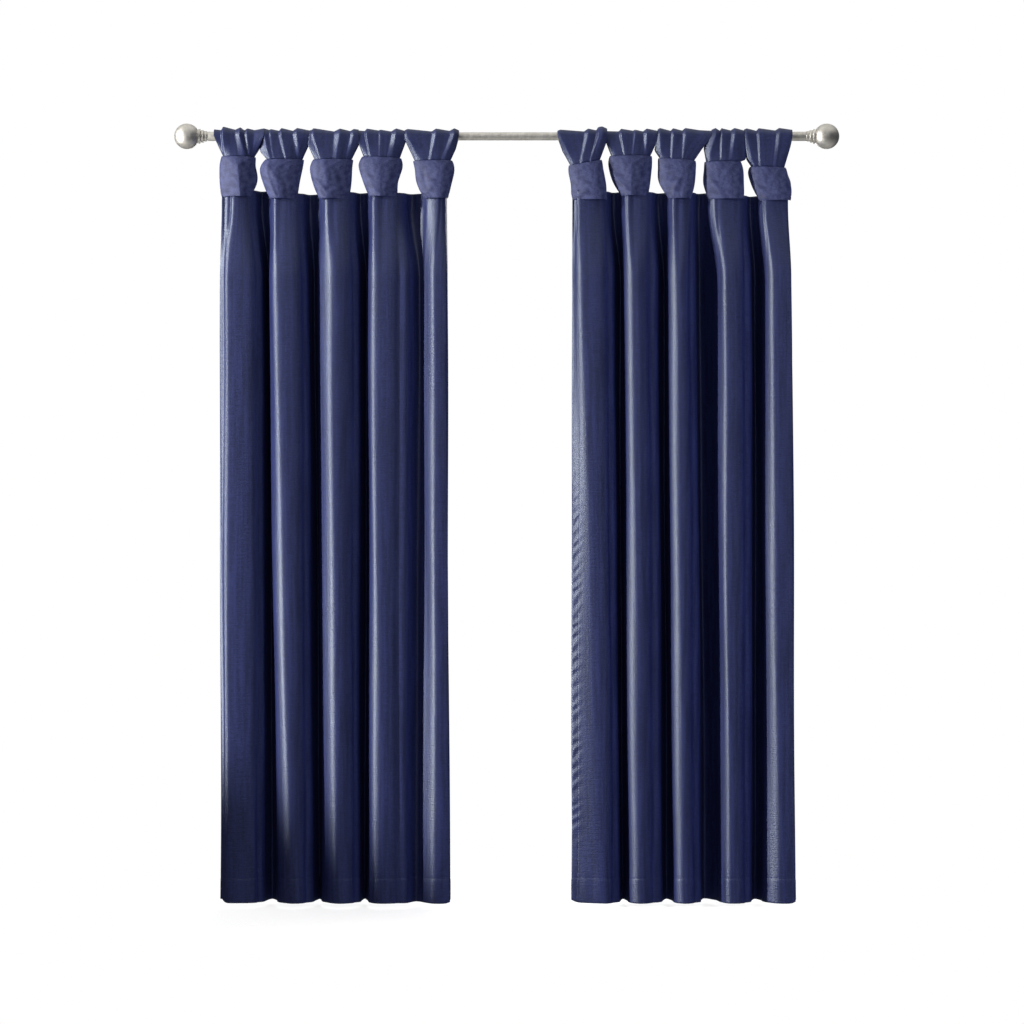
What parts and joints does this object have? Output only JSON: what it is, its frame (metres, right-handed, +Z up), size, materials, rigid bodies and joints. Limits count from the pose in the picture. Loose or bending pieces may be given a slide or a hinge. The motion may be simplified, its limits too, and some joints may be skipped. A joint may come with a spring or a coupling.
{
  "type": "tab top curtains on a rod",
  "caption": "Pair of navy satin curtain panels hanging in deep folds from pleated tab loops with wrap bands, on a slim telescopic rod with ball finials.",
  "frame": {"origin": "on the rod's axis, midway between the finials, where brackets hold the rod up", "axes": "+X along the rod to the right as seen from the room, +Y towards the window or wall, +Z up"},
  "size_m": [1.837, 0.1113, 2.1478],
  "materials": {
    "satin_cloth": "navy satin weave with a soft sheen along the folds",
    "band_cloth": "navy satin drawn tight, faintly mottled",
    "nickel": "brushed nickel"
  },
  "bodies": {
    "root": {"panel_left": "satin_cloth", "panel_right": "satin_cloth", "tab_left_1": "satin_cloth", "tab_left_2": "satin_cloth", "tab_left_3": "satin_cloth", "tab_left_4": "satin_cloth", "tab_left_5": "satin_cloth", "tab_right_1": "satin_cloth", "tab_right_2": "satin_cloth", "tab_right_3": "satin_cloth", "tab_right_4": "satin_cloth", "tab_right_5": "satin_cloth", "band_left_1": "band_cloth", "band_left_2": "band_cloth", "band_left_3": "band_cloth", "band_left_4": "band_cloth", "band_left_5": "band_cloth", "band_right_1": "band_cloth", "band_right_2": "band_cloth", "band_right_3": "band_cloth", "band_right_4": "band_cloth", "band_right_5": "band_cloth", "rod_middle_tube": "nickel", "rod_end_tube_left": "nickel", "rod_end_tube_right": "nickel", "finial_left": "nickel", "finial_right": "nickel"}
  },
  "joints": []
}
